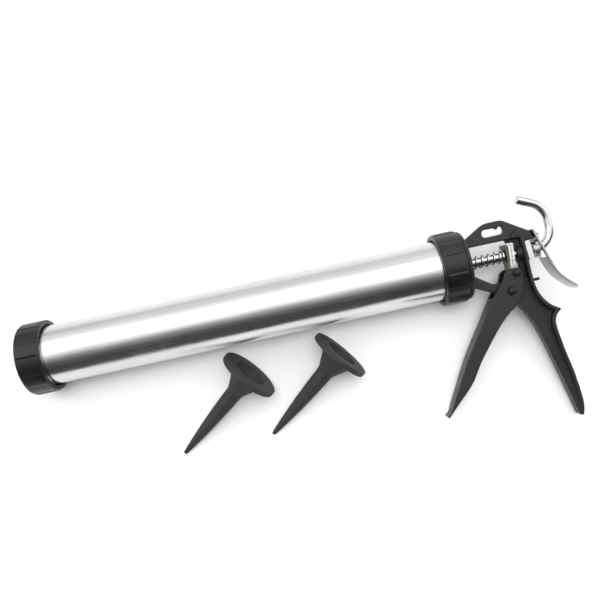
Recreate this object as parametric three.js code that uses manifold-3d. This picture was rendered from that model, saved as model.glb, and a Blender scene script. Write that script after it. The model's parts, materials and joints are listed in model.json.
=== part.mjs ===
// Barrel caulking gun, lying on its side with its two loose nozzles beside it.
//
// The gun is drawn upright in its own frame, in millimetres: X runs along the barrel with 0 at the
// tube's rear end and the nozzle end towards -X, Z is up towards the arch, Y is across the gun.
// The whole gun is then laid on its side, on the ribs of both caps and the handle's tip.

import * as THREE from 'three';
import { mergeVertices } from 'three/addons/utils/BufferGeometryUtils.js';
import Module from 'manifold-3d';

const wasm = await Module();
wasm.setup();

// ---- Driving dimensions ----------------------------------------------------------------------

const GAP = 0.3; // between pieces that touch
const RUNNING_GAP = 0.35; // round a shaft that turns or slides
const PASSING_GAP = 1; // beside a piece that swings past another

// Barrel
const TUBE_LENGTH = 395;
const TUBE_RADIUS = 27.5;
const TUBE_WALL = 1.5;
const CREST_HEIGHT = 1.3; // thread rolled into the tube's wall
const CREST_PITCH = 4;
const CREST_HALF_WIDTH = 1.5;
const FRONT_CRESTS = 3;
const REAR_CRESTS = 4;

// Caps
const CAP_LENGTH = 21.6;
const CAP_THICKNESS = 4.15; // round the thread
const CAP_LIP = 3.6; // front cap's inward lip
const CAP_WALL = 4.4; // rear cap's end wall
const CAP_EDGE = 1.3; // rounding of the outer edges
const RIB_COUNT = 7;
const RIB_HEIGHT = 0.6;
const RIB_WIDTH = 12.4;
const FRONT_RIB_PHASE = -36; // degrees from -Y towards +Z
const REAR_RIB_PHASE = -21.6;

// Nozzles
const NOZZLE_LENGTH = 102;
const NOZZLE_CLEARANCE = 0.65; // of the flange in the cap
const FLANGE_THICKNESS = 4.3;
const CONE_RADIUS = 17.5;
const CONE_CLEARANCE = 2; // of the cone in the front cap's lip
const CONE_LENGTH = 19.2;
const SPOUT_RADIUS = 7.8;
const SPOUT_BULGE = 1.1; // how far the spout swells outside a straight taper
const TIP_RADIUS = 1.8;
const TIP_BORE = 0.8;
const NOZZLE_WALL = 1.8;
const NOZZLE_HEADING = 217; // degrees, from +X, of the way each tip points
const NOZZLE_X = [-206, -120];
const NOZZLE_TUBE_GAP = 4.8;

// Frame casting
const DISC_INSET = 1.3; // of its rim from the cap's
const DISC_THICKNESS = 3.6;
const DISC_EDGE = 0.8;
const ARCH_HALF = 3;
const ARCH_RIB_HALF = 6;
const CORNER_HALF = 8;
const WEB_HALF = 3.2;
const HANDLE_HALF = 5;
const FLANGE_HALF = 11.5; // palm flange down the back of column and handle
const HANDLE_TIP_HALF = 6.5;
const BOSS_RADIUS = 7.6;
const ARCH_UNDER = 14.5; // height of the arch's lower edge over the rod
const COLUMN_FRONT = 59;
const COLUMN_REAR = 65.4;
const HORN_TIP = [84.8, -57.4];
const HANDLE_TIP = [86.6, -158.4];
const LUG_HALF = 2.6;

// Rod and hook
const ROD_RADIUS = 4.05;
const HOOK_RADIUS = 19; // lower bend, on the centre line
const HOOK_TOP_RADIUS = 20;
const HOOK_TURN = 65; // degrees that the upper bend turns
const HOOK_RISE = 5.9;
const HOOK_END = 14.9;
const HOOK_START = 75.4;

// Piston
const PISTON_DEPTH = 2; // from the tube's front end to the rod's front end
const CUP_WALL = 4;
const CUP_EDGE = 1.5;
const CUP_SKIRT = 12;
const CUP_SKIRT_WALL = 3;
const PISTON_PLATE_RADIUS = 17;
const PISTON_PLATE = 2;
const NUT_HEIGHT = 6.5;
const NUT_FLATS = 13;
const ROD_END = 0.5; // of the rod, in front of its nut

// Screws that hold the rear cap to the frame's disc
const SCREW_COUNT = 3;
const SCREW_CIRCLE = 17;
const SCREW_RADIUS = 2;
const SCREW_HEAD_RADIUS = 3.6;
const SCREW_HEAD = 2.3;

// Trigger
const PIVOT = [44.9, -32.6];
const ROLLER_PIN = [52.5, -17.3];
const TRIGGER_HALF = 9.5;
const TRIGGER_TIP_HALF = 6.5;
const TRIGGER_WALL = 2.2;
const TRIGGER_SLANT = 0.65; // radians, of the front web's face from upright
const TRIGGER_TIP_Z = -134.2;
const SLOT_BOTTOM = -36; // where the trigger's front web starts, under the frame's arm
const PIVOT_PIN_RADIUS = 3;
const ROLLER_PIN_RADIUS = 1.7;
const RIVET_HEAD_RADIUS = 3.75;
const RIVET_HEAD = 2.1;

// Pieces on the rod
const PUSHER_FRONT = 47.4;
const PUSHER_THICKNESS = 1.9;
const PUSHER_TOP = 10.3;
const PUSHER_SHOULDER = -6; // where the head narrows to the tail
const PUSHER_TAIL = -19;
const PUSHER_HALF = 7.6;
const GRIP_THICKNESS = 2.3;
const GRIP_TILT = 3;
const GRIP_TOP = 8.7;
const GRIP_SHOULDER = -5;
const GRIP_BOTTOM = -10.7;
const GRIP_HALF = 6.8;
const SPRING_WIRE = 1;
const SPRING_TURNS = 7;
const SPRING_DEAD_TURNS = 1;

// Release gear behind the column
const LOCK_CLEARANCE = 0.9; // behind the column
const LOCK_TOP = 9.7;
const LOCK_THICKNESS = 4.8;
const LOCK_HEIGHT = 18;
const LOCK_HALF = 6.8;
const LOCK_TILT = 5;
const LEVER_SIDE = 3.8; // beside the rod's slot, at the lever's top
const LEVER_TAPER = 1; // taken off each side by the tip
const LEVER_NOSE = 0.6; // share of the tip's width left at its very end
const LEVER_WALL = 2.2;
const RELEASE_WIRE = 0.5;
const RELEASE_TURNS = 3;
const RELEASE_LENGTH = 3.9;
const RELEASE_LEAN = 0.13; // how far each turn leans back for its height
const STOP_PIN_RADIUS = 1.4;
const STOP_PIN_ROOT = 60.3;
const STOP_PIN_END = 75.4;
const STOP_PIN_Z = -27;

// ---- Sizes that follow -----------------------------------------------------------------------

const TUBE_BORE = TUBE_RADIUS - TUBE_WALL;
const CREST_RADIUS = TUBE_RADIUS + CREST_HEIGHT;
const CAP_BORE = CREST_RADIUS + RUNNING_GAP;
const CAP_RADIUS = CAP_BORE + CAP_THICKNESS;
const REST_RADIUS = CAP_RADIUS + RIB_HEIGHT;
const CAP_REAR = GAP + CAP_WALL;
const FRONT_CAP_X = -TUBE_LENGTH - FLANGE_THICKNESS - 2 * GAP - CAP_LIP;
const LIP_RADIUS = CONE_RADIUS + CONE_CLEARANCE;
const FLANGE_RADIUS = CAP_BORE - NOZZLE_CLEARANCE;
const DISC_RADIUS = CAP_RADIUS - DISC_INSET;
const DISC_FRONT = CAP_REAR + GAP;
const DISC_REAR = DISC_FRONT + DISC_THICKNESS;
const ROD_BORE = ROD_RADIUS + RUNNING_GAP;
const TRIGGER_INNER = TRIGGER_HALF - TRIGGER_WALL;
const ARM_SLOT_HALF = HANDLE_HALF + PASSING_GAP;
const TAIL_HALF = ARM_SLOT_HALF - PASSING_GAP / 2;
const ROLLER_RADIUS = ROLLER_PIN[0] - PUSHER_FRONT - PUSHER_THICKNESS - GAP;
const LEVER_SLOT_HALF = ROD_BORE + 2 * PASSING_GAP + GAP;
const LEVER_HALF = LEVER_SLOT_HALF + LEVER_SIDE;
const LOCK_CORNER = [COLUMN_REAR + LOCK_CLEARANCE, LOCK_TOP];
const ROUND = 36; // sides of a large round
const SMALL_ROUND = 16;

// ---- Materials -------------------------------------------------------------------------------

const finish = (color, roughness, metalness) =>
  new THREE.MeshStandardMaterial({ color, roughness, metalness });

const polishedTube = () => finish(0xd4d6d8, 0.22, 1);
const blackPlastic = () => finish(0x1f2022, 0.45, 0);
const castBlack = () => finish(0x2c2e2e, 0.5, 0.3);
const nozzleGrey = () => finish(0x333435, 0.65, 0);
const brightZinc = () => finish(0xd8d9d6, 0.3, 1);
const oliveZinc = () => finish(0x8d8f7c, 0.42, 1);
const springSteel = () => finish(0xb4b7b6, 0.3, 1);
const blackRivet = () => finish(0x262828, 0.4, 0.6);
const sealRubber = () => finish(0x1b1b1b, 0.75, 0);

// ---- Solid helpers ---------------------------------------------------------------------------

function signedVolume(position, triangles) {
  const corner = [0, 1, 2].map(() => new THREE.Vector3());
  let sum = 0;
  for (let i = 0; i < triangles.length; i += 3) {
    corner.forEach((v, k) => v.fromBufferAttribute(position, triangles[i + k]));
    sum += corner[0].dot(corner[1].cross(corner[2]));
  }
  return sum;
}

// A closed geometry as a solid whose faces point out
function solid(geometry) {
  const bare = geometry.clone();
  bare.deleteAttribute('normal');
  bare.deleteAttribute('uv');
  const merged = mergeVertices(bare, 1e-4);
  const position = merged.attributes.position;
  const corners = merged.index.array;
  const triangles = [];
  for (let i = 0; i < corners.length; i += 3) {
    const [a, b, c] = corners.subarray(i, i + 3);
    if (a !== b && b !== c && c !== a) triangles.push(a, b, c);
  }
  if (signedVolume(position, triangles) < 0) triangles.reverse();
  const vertProperties = new Float32Array(position.array);
  const triVerts = new Uint32Array(triangles);
  return new wasm.Manifold(new wasm.Mesh({ numProp: 3, vertProperties, triVerts }));
}

function geometryOf(body) {
  const { vertProperties, triVerts } = body.getMesh();
  const geometry = new THREE.BufferGeometry();
  geometry.setAttribute('position', new THREE.BufferAttribute(vertProperties, 3));
  geometry.setIndex(new THREE.BufferAttribute(triVerts, 1));
  geometry.computeVertexNormals();
  return geometry;
}

function named(name, body, material) {
  const mesh = new THREE.Mesh(geometryOf(body), material);
  mesh.name = name;
  return mesh;
}

// Outline through [x, z, round] corners. A round corner's curve starts and ends that far from it,
// or just under half way to the next corner if that is nearer.
function outline(corners) {
  const shape = new THREE.Shape();
  const points = corners.map(([x, z]) => new THREE.Vector2(x, z));
  points.forEach((here, i) => {
    const before = points.at(i - 1);
    const after = points[(i + 1) % points.length];
    const round = corners[i][2] ?? 0;
    const towards = (other) => {
      const room = 0.45 * here.distanceTo(other);
      return other.clone().sub(here).setLength(Math.min(round, room)).add(here);
    };
    const start = round ? towards(before) : here;
    if (i === 0) shape.moveTo(start.x, start.y);
    else shape.lineTo(start.x, start.y);
    if (!round) return;
    const end = towards(after);
    shape.quadraticCurveTo(here.x, here.y, end.x, end.y);
  });
  shape.closePath();
  return shape;
}

// A plate with the given outline in X and Z, centred on Y = 0
function plate(corners, half, curveSegments = 4) {
  const geometry = new THREE.ExtrudeGeometry(outline(corners), {
    depth: 2 * half,
    bevelEnabled: false,
    curveSegments,
  });
  return solid(geometry.rotateX(Math.PI / 2).translate(0, half, 0));
}

// A plate whose half width shrinks evenly from half at zWide to tipHalf at zTip
function taperedPlate(corners, half, tipHalf, zWide, zTip) {
  const shrink = (1 - tipHalf / half) / (zWide - zTip);
  return plate(corners, half).warp((v) => {
    v[1] *= 1 - shrink * (zWide - v[2]);
  });
}

// A solid turned about X; profile points are [x, radius], and it closes on itself
function turned(profile, segments = ROUND) {
  const points = [...profile, profile[0]].map(([x, r]) => new THREE.Vector2(r, x));
  return solid(new THREE.LatheGeometry(points, segments).rotateZ(-Math.PI / 2));
}

// A shaft along X
const shaft = (x0, x1, radius, segments = SMALL_ROUND) =>
  turned([[x0, 0], [x0, radius], [x1, radius], [x1, 0]], segments);

// A ring along X
const ring = (x0, x1, inner, outer, segments = ROUND) =>
  turned([[x0, inner], [x0, outer], [x1, outer], [x1, inner]], segments);

// A pin or hole along Y, at [x, z]
function crossPin([x, z], half, radius) {
  const geometry = new THREE.CylinderGeometry(radius, radius, 2 * half, SMALL_ROUND);
  return solid(geometry.translate(x, 0, z));
}

function box(x0, x1, y0, y1, z0, z1) {
  const geometry = new THREE.BoxGeometry(x1 - x0, y1 - y0, z1 - z0);
  return solid(geometry.translate((x0 + x1) / 2, (y0 + y1) / 2, (z0 + z1) / 2));
}

// A round bar along a path
function bar(path, radius, steps, curveSegments) {
  const section = new THREE.Shape().absarc(0, 0, radius, 0, 2 * Math.PI);
  return solid(new THREE.ExtrudeGeometry(section, { extrudePath: path, steps, curveSegments }));
}

const union = (...bodies) => bodies.reduce((all, next) => all.add(next));

// ---- Barrel and caps -------------------------------------------------------------------------

// Rolled thread crests, listed from the front one to the rear one
function crests(first, count) {
  const profile = [];
  for (let i = 0; i < count; i += 1) {
    const x = first + i * CREST_PITCH;
    profile.push([x - CREST_HALF_WIDTH, TUBE_RADIUS]);
    profile.push([x, CREST_RADIUS]);
    profile.push([x + CREST_HALF_WIDTH, TUBE_RADIUS]);
  }
  return profile;
}

function barrelTube() {
  return turned([
    [-TUBE_LENGTH, TUBE_BORE],
    [-TUBE_LENGTH, TUBE_RADIUS],
    ...crests(CREST_PITCH - TUBE_LENGTH, FRONT_CRESTS),
    ...crests(-REAR_CRESTS * CREST_PITCH, REAR_CRESTS),
    [0, TUBE_RADIUS],
    [0, TUBE_BORE],
  ]);
}

// Ribs along a cap that runs from x0 to x1
function withRibs(cap, x0, x1, phase) {
  const bite = 1; // how deep a rib is rooted in the cap
  const top = CAP_RADIUS + RIB_HEIGHT;
  const envelope = ring(x0 + CAP_EDGE, x1 - CAP_EDGE, CAP_RADIUS - bite, top);
  let ribbed = cap;
  for (let i = 0; i < RIB_COUNT; i += 1) {
    const blank = box(x0, x1, -RIB_WIDTH / 2, RIB_WIDTH / 2, 0, 2 * top);
    const turn = phase + (360 / RIB_COUNT) * i - 90;
    ribbed = ribbed.add(blank.rotate([-turn, 0, 0]).intersect(envelope));
  }
  return ribbed;
}

function frontCap() {
  const x0 = FRONT_CAP_X;
  const x1 = x0 + CAP_LENGTH;
  const body = turned([
    [x0, LIP_RADIUS],
    [x0, CAP_RADIUS - CAP_EDGE],
    [x0 + CAP_EDGE, CAP_RADIUS],
    [x1 - CAP_EDGE, CAP_RADIUS],
    [x1, CAP_RADIUS - CAP_EDGE],
    [x1, CAP_BORE],
    [x0 + CAP_LIP, CAP_BORE],
    [x0 + CAP_LIP, LIP_RADIUS],
  ]);
  return withRibs(body, x0, x1, FRONT_RIB_PHASE);
}

function screwPlaces() {
  const places = [];
  for (let i = 0; i < SCREW_COUNT; i += 1) {
    const angle = Math.PI / 2 + (i * 2 * Math.PI) / SCREW_COUNT;
    places.push([SCREW_CIRCLE * Math.sin(angle), SCREW_CIRCLE * Math.cos(angle)]);
  }
  return places;
}

// Removes the screws' clearance holes between two stations
function drilled(body, x0, x1) {
  const hole = shaft(x0, x1, SCREW_RADIUS + GAP);
  return screwPlaces().reduce((rest, [y, z]) => rest.subtract(hole.translate([0, y, z])), body);
}

function rearCap() {
  const x0 = CAP_REAR - CAP_LENGTH;
  const body = turned([
    [x0, CAP_BORE],
    [x0, CAP_RADIUS - CAP_EDGE],
    [x0 + CAP_EDGE, CAP_RADIUS],
    [CAP_REAR - CAP_EDGE, CAP_RADIUS],
    [CAP_REAR, CAP_RADIUS - CAP_EDGE],
    [CAP_REAR, ROD_BORE],
    [GAP, ROD_BORE],
    [GAP, CAP_BORE],
  ]);
  return drilled(withRibs(body, x0, CAP_REAR, REAR_RIB_PHASE), 0, CAP_REAR + GAP);
}

function frameScrew([y, z]) {
  const crown = SCREW_HEAD_RADIUS - 1;
  const head = [[-SCREW_HEAD, 0], [-SCREW_HEAD, crown], [-1, SCREW_HEAD_RADIUS]];
  const shank = [[0, SCREW_HEAD_RADIUS], [0, SCREW_RADIUS], [DISC_REAR, SCREW_RADIUS], [DISC_REAR, 0]];
  return turned([...head, ...shank], SMALL_ROUND).translate([0, y, z]);
}

// ---- Nozzle ----------------------------------------------------------------------------------

// Along +X from the flange's back face to the tip
function nozzle() {
  const coneEnd = FLANGE_THICKNESS + CONE_LENGTH;
  const spout = [0.25, 0.5, 0.75].map((t) => [
    THREE.MathUtils.lerp(coneEnd, NOZZLE_LENGTH, t),
    THREE.MathUtils.lerp(SPOUT_RADIUS, TIP_RADIUS, t) + SPOUT_BULGE * 4 * t * (1 - t),
  ]);
  const boreTurn = coneEnd + NOZZLE_WALL;
  return turned([
    [0, CONE_RADIUS - NOZZLE_WALL],
    [0, FLANGE_RADIUS],
    [FLANGE_THICKNESS, FLANGE_RADIUS],
    [FLANGE_THICKNESS, CONE_RADIUS],
    [coneEnd, SPOUT_RADIUS],
    ...spout,
    [NOZZLE_LENGTH, TIP_RADIUS],
    [NOZZLE_LENGTH, TIP_BORE],
    [boreTurn, SPOUT_RADIUS - NOZZLE_WALL],
    [FLANGE_THICKNESS, CONE_RADIUS - NOZZLE_WALL],
  ], 28);
}

// ---- Frame casting ---------------------------------------------------------------------------

function archBody() {
  const root = DISC_FRONT + 1;
  const web = plate([
    [root, ARCH_UNDER],
    [73.2, ARCH_UNDER],
    [73.2, 19.4],
    [50.4, 33.9, 3],
    [33.8, 33.7, 4],
    [root, 18],
  ], ARCH_HALF);
  const rib = plate([
    [root, ARCH_UNDER],
    [64, ARCH_UNDER],
    [64, ARCH_UNDER + 3.2],
    [root, ARCH_UNDER + 3.2],
  ], ARCH_RIB_HALF);
  return web.add(rib);
}

// Hanging slot with a small tooth in its upper edge
function hangingSlot() {
  return plate([
    [30.7, 20.6, 3.6],
    [51.1, 20.9, 3.6],
    [51.1, 28.2, 3.6],
    [46.9, 28, 0.5],
    [45.3, 25.6, 0.6],
    [43.4, 27.8, 0.5],
    [30.7, 27.8, 3.6],
  ], ARCH_HALF + 1);
}

// Upper corner of the casting, with the horn that carries the release lever and its lug
function cornerBody() {
  const horn = plate([
    [55, ARCH_UNDER],
    [55.2, 17.6, 0.5],
    [62.4, 22.6, 1],
    [73.2, 18.3, 0.8],
    [75.4, 10.2, 0.6],
    [62.6, 10.2],
    [62.6, ARCH_UNDER],
  ], CORNER_HALF);
  const lug = plate([
    [70, 11.4],
    [81.4, 11.4, 0.5],
    [82.6, 14.6, 0.6],
    [81.4, 15, 0.6],
    [79.8, 14.4],
    [70, 14.4],
  ], LUG_HALF);
  return horn.add(lug);
}

function columnBody() {
  const upperWeb = plate([
    [50.8, ARCH_UNDER + 1],
    [51.6, 11.2, 1],
    [COLUMN_FRONT, 11.2],
    [COLUMN_FRONT, -25],
    [64, -25],
    [64, ARCH_UNDER + 1],
  ], WEB_HALF);
  const boss = shaft(COLUMN_FRONT - 0.6, COLUMN_REAR - 1, BOSS_RADIUS);
  const flange = plate([
    [COLUMN_REAR, 12],
    [COLUMN_REAR, -22, 6],
    [66.2, -33, 6],
    [69, -42, 6],
    [75.5, -51.5, 6],
    HORN_TIP,
    [83.4, -59.4],
    [73.2, -54.2, 6],
    [66, -43.4, 6],
    [63.3, -33, 6],
    [62.6, -22, 6],
    [62.6, 12],
  ], FLANGE_HALF);
  return union(upperWeb, boss, flange);
}

// Lower arm, pivot block and the handle's web in one plate
function lowerBody() {
  const root = DISC_FRONT + 1;
  return plate([
    [root, -6],
    [31, -23.4, 3],
    [64, -23.4],
    [65, -33, 4],
    [68, -43, 4],
    [74, -52, 4],
    [82, -57.6],
    [78, -62.5, 4],
    [76, -68, 4],
    [76.2, -75, 4],
    [79.6, -96],
    [83.7, -116],
    [86.6, -137, 8],
    [87, -150],
    [HANDLE_TIP[0] - 0.6, HANDLE_TIP[1]],
    [83.9, HANDLE_TIP[1] + 0.3, 1],
    [77.2, -128, 20],
    [66, -83.5, 10],
    [60.5, -65.2, 8],
    [50.2, -45.6, 3],
    [41, -43.2, 4],
    [32.6, -34, 3],
    [30.1, -31, 2],
    [root, -19.6],
  ], HANDLE_HALF);
}

// Palm flange down the back of the handle
function handleFlange() {
  return taperedPlate([
    [82, -56],
    HORN_TIP,
    [79.3, -62.4, 3],
    [77.4, -68, 3],
    [77.8, -75, 6],
    [81.2, -96],
    [85.4, -116],
    [88.3, -137, 8],
    [88.8, -150, 5],
    HANDLE_TIP,
    [84.4, HANDLE_TIP[1] + 0.3],
    [85.7, -149, 5],
    [85, -137, 8],
    [82.2, -116],
    [78, -96],
    [74.6, -75, 6],
    [74.2, -68, 3],
    [76.2, -61, 3],
  ], FLANGE_HALF, HANDLE_TIP_HALF, HORN_TIP[1], HANDLE_TIP[1]);
}

function frame() {
  const disc = turned([
    [DISC_FRONT, 0],
    [DISC_FRONT, DISC_RADIUS],
    [DISC_REAR - DISC_EDGE, DISC_RADIUS],
    [DISC_REAR, DISC_RADIUS - DISC_EDGE],
    [DISC_REAR, 0],
  ]);
  const blank = union(disc, archBody(), cornerBody(), columnBody(), lowerBody(), handleFlange());
  const rodBore = shaft(DISC_FRONT - 1, COLUMN_REAR + 2, ROD_BORE);
  const stopHole = shaft(STOP_PIN_ROOT - GAP, COLUMN_REAR + 2, STOP_PIN_RADIUS + GAP);
  const pivotBore = crossPin(PIVOT, FLANGE_HALF, PIVOT_PIN_RADIUS + RUNNING_GAP);
  const stopBore = stopHole.translate([0, 0, STOP_PIN_Z]);
  const cut = blank.subtract(union(hangingSlot(), rodBore, stopBore, pivotBore));
  return drilled(cut, DISC_FRONT - GAP, DISC_REAR + GAP);
}

// ---- Rod and piston --------------------------------------------------------------------------

// A bend of the given radius in the plane of X and Z; angles run from +X towards +Z
class Bend extends THREE.Curve {
  constructor(centre, radius, from, to) {
    super();
    Object.assign(this, { centre, radius, from, to });
  }

  getPoint(t, target = new THREE.Vector3()) {
    const angle = THREE.MathUtils.degToRad(THREE.MathUtils.lerp(this.from, this.to, t));
    const x = this.centre[0] + this.radius * Math.cos(angle);
    const z = this.centre[1] + this.radius * Math.sin(angle);
    return target.set(x, 0, z);
  }
}

// Several curves end to end, each taken in its own number of even steps
class SteppedPath extends THREE.Curve {
  constructor(pieces) {
    super();
    this.pieces = pieces;
    this.steps = pieces.reduce((sum, piece) => sum + piece.steps, 0);
  }

  getPoint(t, target = new THREE.Vector3()) {
    let step = t * this.steps;
    let index = 0;
    while (index < this.pieces.length - 1 && step > this.pieces[index].steps) {
      step -= this.pieces[index].steps;
      index += 1;
    }
    const { curve, steps } = this.pieces[index];
    return target.copy(curve.getPoint(step / steps));
  }

  getPointAt(u, target) {
    return this.getPoint(u, target);
  }

  getTangentAt(u, target) {
    return this.getTangent(u, target);
  }
}

// Straight through the barrel, then bent up and forward into the hook
function rod() {
  const front = new THREE.Vector3(PISTON_DEPTH - TUBE_LENGTH, 0, 0);
  const lower = new Bend([HOOK_START, HOOK_RADIUS], HOOK_RADIUS, -90, 0);
  const topCentre = [HOOK_START + HOOK_RADIUS - HOOK_TOP_RADIUS, HOOK_RADIUS + HOOK_RISE];
  const upper = new Bend(topCentre, HOOK_TOP_RADIUS, 0, HOOK_TURN);
  const leave = THREE.MathUtils.degToRad(HOOK_TURN + 90);
  const end = upper.getPoint(1);
  end.x += HOOK_END * Math.cos(leave);
  end.z += HOOK_END * Math.sin(leave);
  const path = new SteppedPath([
    { curve: new THREE.LineCurve3(front, lower.getPoint(0)), steps: 1 },
    { curve: lower, steps: 8 },
    { curve: new THREE.LineCurve3(lower.getPoint(1), upper.getPoint(0)), steps: 1 },
    { curve: upper, steps: 4 },
    { curve: new THREE.LineCurve3(upper.getPoint(1), end), steps: 1 },
  ]);
  return bar(path, ROD_RADIUS, path.steps, 8);
}

function hexNut(x0) {
  const radius = NUT_FLATS / Math.sqrt(3);
  return shaft(x0, x0 + NUT_HEIGHT, radius, 6).subtract(shaft(x0 - 1, x0 + NUT_HEIGHT + 1, ROD_BORE));
}

function pistonParts() {
  const nutFront = PISTON_DEPTH - TUBE_LENGTH + ROD_END;
  const plateFront = nutFront + NUT_HEIGHT + GAP;
  const cupFront = plateFront + PISTON_PLATE + GAP;
  const plateRear = cupFront + CUP_WALL + GAP;
  const nutRear = plateRear + PISTON_PLATE + GAP;
  const cupRadius = TUBE_BORE - GAP;
  const skirtEnd = cupFront + CUP_WALL + CUP_SKIRT;
  const cup = turned([
    [cupFront, ROD_BORE],
    [cupFront, cupRadius - CUP_EDGE],
    [cupFront + CUP_EDGE, cupRadius],
    [skirtEnd, cupRadius],
    [skirtEnd, cupRadius - CUP_SKIRT_WALL],
    [cupFront + CUP_WALL, cupRadius - CUP_SKIRT_WALL],
    [cupFront + CUP_WALL, ROD_BORE],
  ]);
  const washer = (x0) => ring(x0, x0 + PISTON_PLATE, ROD_BORE, PISTON_PLATE_RADIUS);
  return [
    named('rod_nut_front', hexNut(nutFront), brightZinc()),
    named('piston_front_plate', washer(plateFront), brightZinc()),
    named('piston_cup', cup, sealRubber()),
    named('piston_rear_plate', washer(plateRear), brightZinc()),
    named('rod_nut_rear', hexNut(nutRear), brightZinc()),
  ];
}

// ---- Trigger ---------------------------------------------------------------------------------

const TRIGGER_FRONT_EDGE = [
  [39.5, -22, 3],
  [30, -31.2, 5],
  [16.3, -51.6, 8],
  [-1.1, -76, 12],
  [-9.5, -89.2, 5],
  [-27.8, -121.8, 6],
  [-33.2, -131.8],
  [-36.8, TRIGGER_TIP_Z],
];

function trigger() {
  const cheek = [
    [42.4, -14.6, 2.5],
    ...TRIGGER_FRONT_EDGE,
    [-35.2, TRIGGER_TIP_Z - 1.2],
    [-23.6, -124, 6],
    [-12, -113.2, 5],
    [-6.4, -107, 4],
    [5.4, -88.8, 6],
    [27, -62.5, 12],
    [38.6, -52, 4],
    [48.6, -45.6, 4],
    [54.6, -37, 5],
    [58, -22, 6],
    [56.6, -12.4, 4],
    [48, -11.9, 4],
  ];
  // the channel's hollow: the front edge moved back by the wall, and open behind
  const backX = TRIGGER_WALL * Math.cos(TRIGGER_SLANT);
  const backZ = TRIGGER_WALL * Math.sin(TRIGGER_SLANT);
  const hollow = [
    [46, -8],
    ...TRIGGER_FRONT_EDGE.map(([x, z, round]) => [x + backX, z - backZ, round]),
    [-20, TRIGGER_TIP_Z - 12],
    [70, -60],
    [70, -8],
  ];
  const innerTip = TRIGGER_INNER * (TRIGGER_TIP_HALF / TRIGGER_HALF);
  const shell = taperedPlate(cheek, TRIGGER_HALF, TRIGGER_TIP_HALF, ROLLER_PIN[1], TRIGGER_TIP_Z);
  const inside = taperedPlate(hollow, TRIGGER_INNER, innerTip, ROLLER_PIN[1], TRIGGER_TIP_Z);
  const armSlot = box(0, 50, -ARM_SLOT_HALF, ARM_SLOT_HALF, SLOT_BOTTOM, 0);
  const pivotHole = crossPin(PIVOT, 2 * TRIGGER_HALF, PIVOT_PIN_RADIUS + RUNNING_GAP);
  const rollerHole = crossPin(ROLLER_PIN, 2 * TRIGGER_HALF, ROLLER_PIN_RADIUS + GAP);
  return shell.subtract(union(inside, armSlot)).subtract(pivotHole).subtract(rollerHole);
}

// A rivet through the trigger's cheeks, with a domed head at each end
function rivet([x, z], radius) {
  const seat = TRIGGER_HALF + GAP;
  const dome = [0, 30, 60, 90].map((degrees) => {
    const angle = THREE.MathUtils.degToRad(degrees);
    return [RIVET_HEAD_RADIUS * Math.cos(angle), seat + RIVET_HEAD * Math.sin(angle)];
  });
  const upper = [[radius, seat], ...dome];
  const lower = upper.map(([r, y]) => [r, -y]).reverse();
  const profile = [...lower, ...upper].map(([r, y]) => new THREE.Vector2(Math.max(r, 0), y));
  profile[0].x = 0;
  profile.at(-1).x = 0;
  return solid(new THREE.LatheGeometry(profile, SMALL_ROUND)).translate([x, 0, z]);
}

function roller() {
  const outer = crossPin(ROLLER_PIN, TRIGGER_INNER - PASSING_GAP, ROLLER_RADIUS);
  return outer.subtract(crossPin(ROLLER_PIN, TRIGGER_HALF, ROLLER_PIN_RADIUS + GAP));
}

// ---- Pieces on the rod -----------------------------------------------------------------------

function pusherPlate() {
  const thickness = PUSHER_THICKNESS;
  const x0 = PUSHER_FRONT;
  const head = box(x0, x0 + thickness, -PUSHER_HALF, PUSHER_HALF, PUSHER_SHOULDER, PUSHER_TOP);
  const tail = box(x0, x0 + thickness, -TAIL_HALF, TAIL_HALF, PUSHER_TAIL, 0);
  return head.add(tail).subtract(shaft(x0 - 1, x0 + thickness + 1, ROD_BORE));
}

// One of the tilted plates that bite the rod; its lower end is narrow, to pass between the cheeks
function gripPlate(index) {
  const x0 = index * (GRIP_THICKNESS + GAP);
  const x1 = x0 + GRIP_THICKNESS;
  const wide = box(x0, x1, -GRIP_HALF, GRIP_HALF, GRIP_SHOULDER, GRIP_TOP);
  const narrow = box(x0, x1, -TAIL_HALF, TAIL_HALF, GRIP_BOTTOM, 0);
  const lean = Math.abs(GRIP_BOTTOM) * Math.sin(THREE.MathUtils.degToRad(GRIP_TILT));
  const front = PUSHER_FRONT + PUSHER_THICKNESS + GAP + lean;
  const tilted = wide.add(narrow).rotate([0, GRIP_TILT, 0]).translate([front, 0, 0]);
  return tilted.subtract(shaft(front - 10, front + 20, ROD_BORE + GAP / 2));
}

// A coil round the rod; each turn leans back by lean as it goes down
class Coil extends THREE.Curve {
  constructor({ x, length, radius, turns, deadTurns = 0, deadPitch = 0, lean = 0 }) {
    super();
    const pitch = (length - deadTurns * deadPitch) / (turns - deadTurns);
    Object.assign(this, { x, radius, turns, deadTurns, deadPitch, pitch, lean });
  }

  getPoint(t, target = new THREE.Vector3()) {
    const turn = this.turns * t;
    const live = Math.min(turn, this.turns - this.deadTurns);
    const along = live * this.pitch + (turn - live) * this.deadPitch;
    const y = this.radius * Math.sin(2 * Math.PI * turn);
    const z = this.radius * Math.cos(2 * Math.PI * turn);
    return target.set(this.x + along - this.lean * z, y, z);
  }
}

function returnSpring() {
  const start = DISC_REAR + GAP + SPRING_WIRE;
  const coil = new Coil({
    x: start,
    length: PUSHER_FRONT - GAP - SPRING_WIRE - start,
    radius: ROD_BORE + SPRING_WIRE,
    turns: SPRING_TURNS,
    deadTurns: SPRING_DEAD_TURNS,
    deadPitch: 2 * SPRING_WIRE + GAP,
  });
  return bar(coil, SPRING_WIRE, SPRING_TURNS * 12, 3);
}

// ---- Release gear ----------------------------------------------------------------------------

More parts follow.
